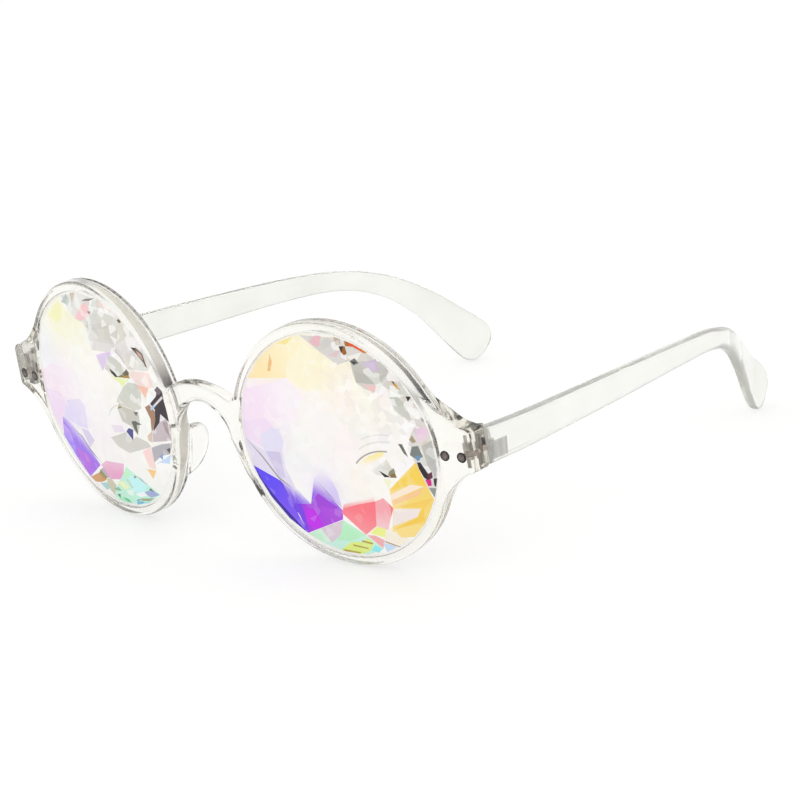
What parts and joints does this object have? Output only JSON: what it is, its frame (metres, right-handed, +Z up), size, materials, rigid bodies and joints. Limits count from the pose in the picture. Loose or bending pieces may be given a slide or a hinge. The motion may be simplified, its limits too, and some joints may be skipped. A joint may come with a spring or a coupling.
{
  "type": "prism glasses",
  "caption": "Clear round-framed glasses with faceted iridescent crystal lenses, an arched bridge, clear nose pads and curved arms that fold on riveted barrel hinges.",
  "frame": {"origin": "middle of the glasses' bounding box in X and Y, on the plane that the rims and the arm tips stand on", "axes": "+X to the wearer's left, -Y out of the front of the lenses, +Z up; arms open"},
  "size_m": [0.1428, 0.137, 0.055],
  "materials": {
    "clear_plastic": "clear, polished",
    "milky_plastic": "clear, slightly milky, polished",
    "crystal": "cut and polished, with an iridescent coat",
    "leaf_steel": "satin",
    "screw_steel": "satin",
    "rivet_steel": "satin"
  },
  "bodies": {
    "front": {"front_frame": "clear_plastic", "left_lens": "crystal", "right_lens": "crystal", "left_front_leaf": "leaf_steel", "right_front_leaf": "leaf_steel", "left_hinge_screw": "screw_steel", "right_hinge_screw": "screw_steel", "left_inner_rivet": "rivet_steel", "left_outer_rivet": "rivet_steel", "right_inner_rivet": "rivet_steel", "right_outer_rivet": "rivet_steel"},
    "left_arm_body": {"left_arm": "milky_plastic", "left_arm_leaf": "leaf_steel"},
    "right_arm_body": {"right_arm": "milky_plastic", "right_arm_leaf": "leaf_steel"}
  },
  "joints": [
    {"name": "left_hinge", "type": "hinge", "parent": "front", "child": "left_arm_body", "pos_m": [0.06746, -0.05174, 0.02924], "axis": [0, -0.0906, 0.9959], "range_deg": [0, 79]},
    {"name": "right_hinge", "type": "hinge", "parent": "front", "child": "right_arm_body", "pos_m": [-0.06746, -0.05174, 0.02924], "axis": [0, 0.0906, -0.9959], "range_deg": [0, 74]}
  ]
}
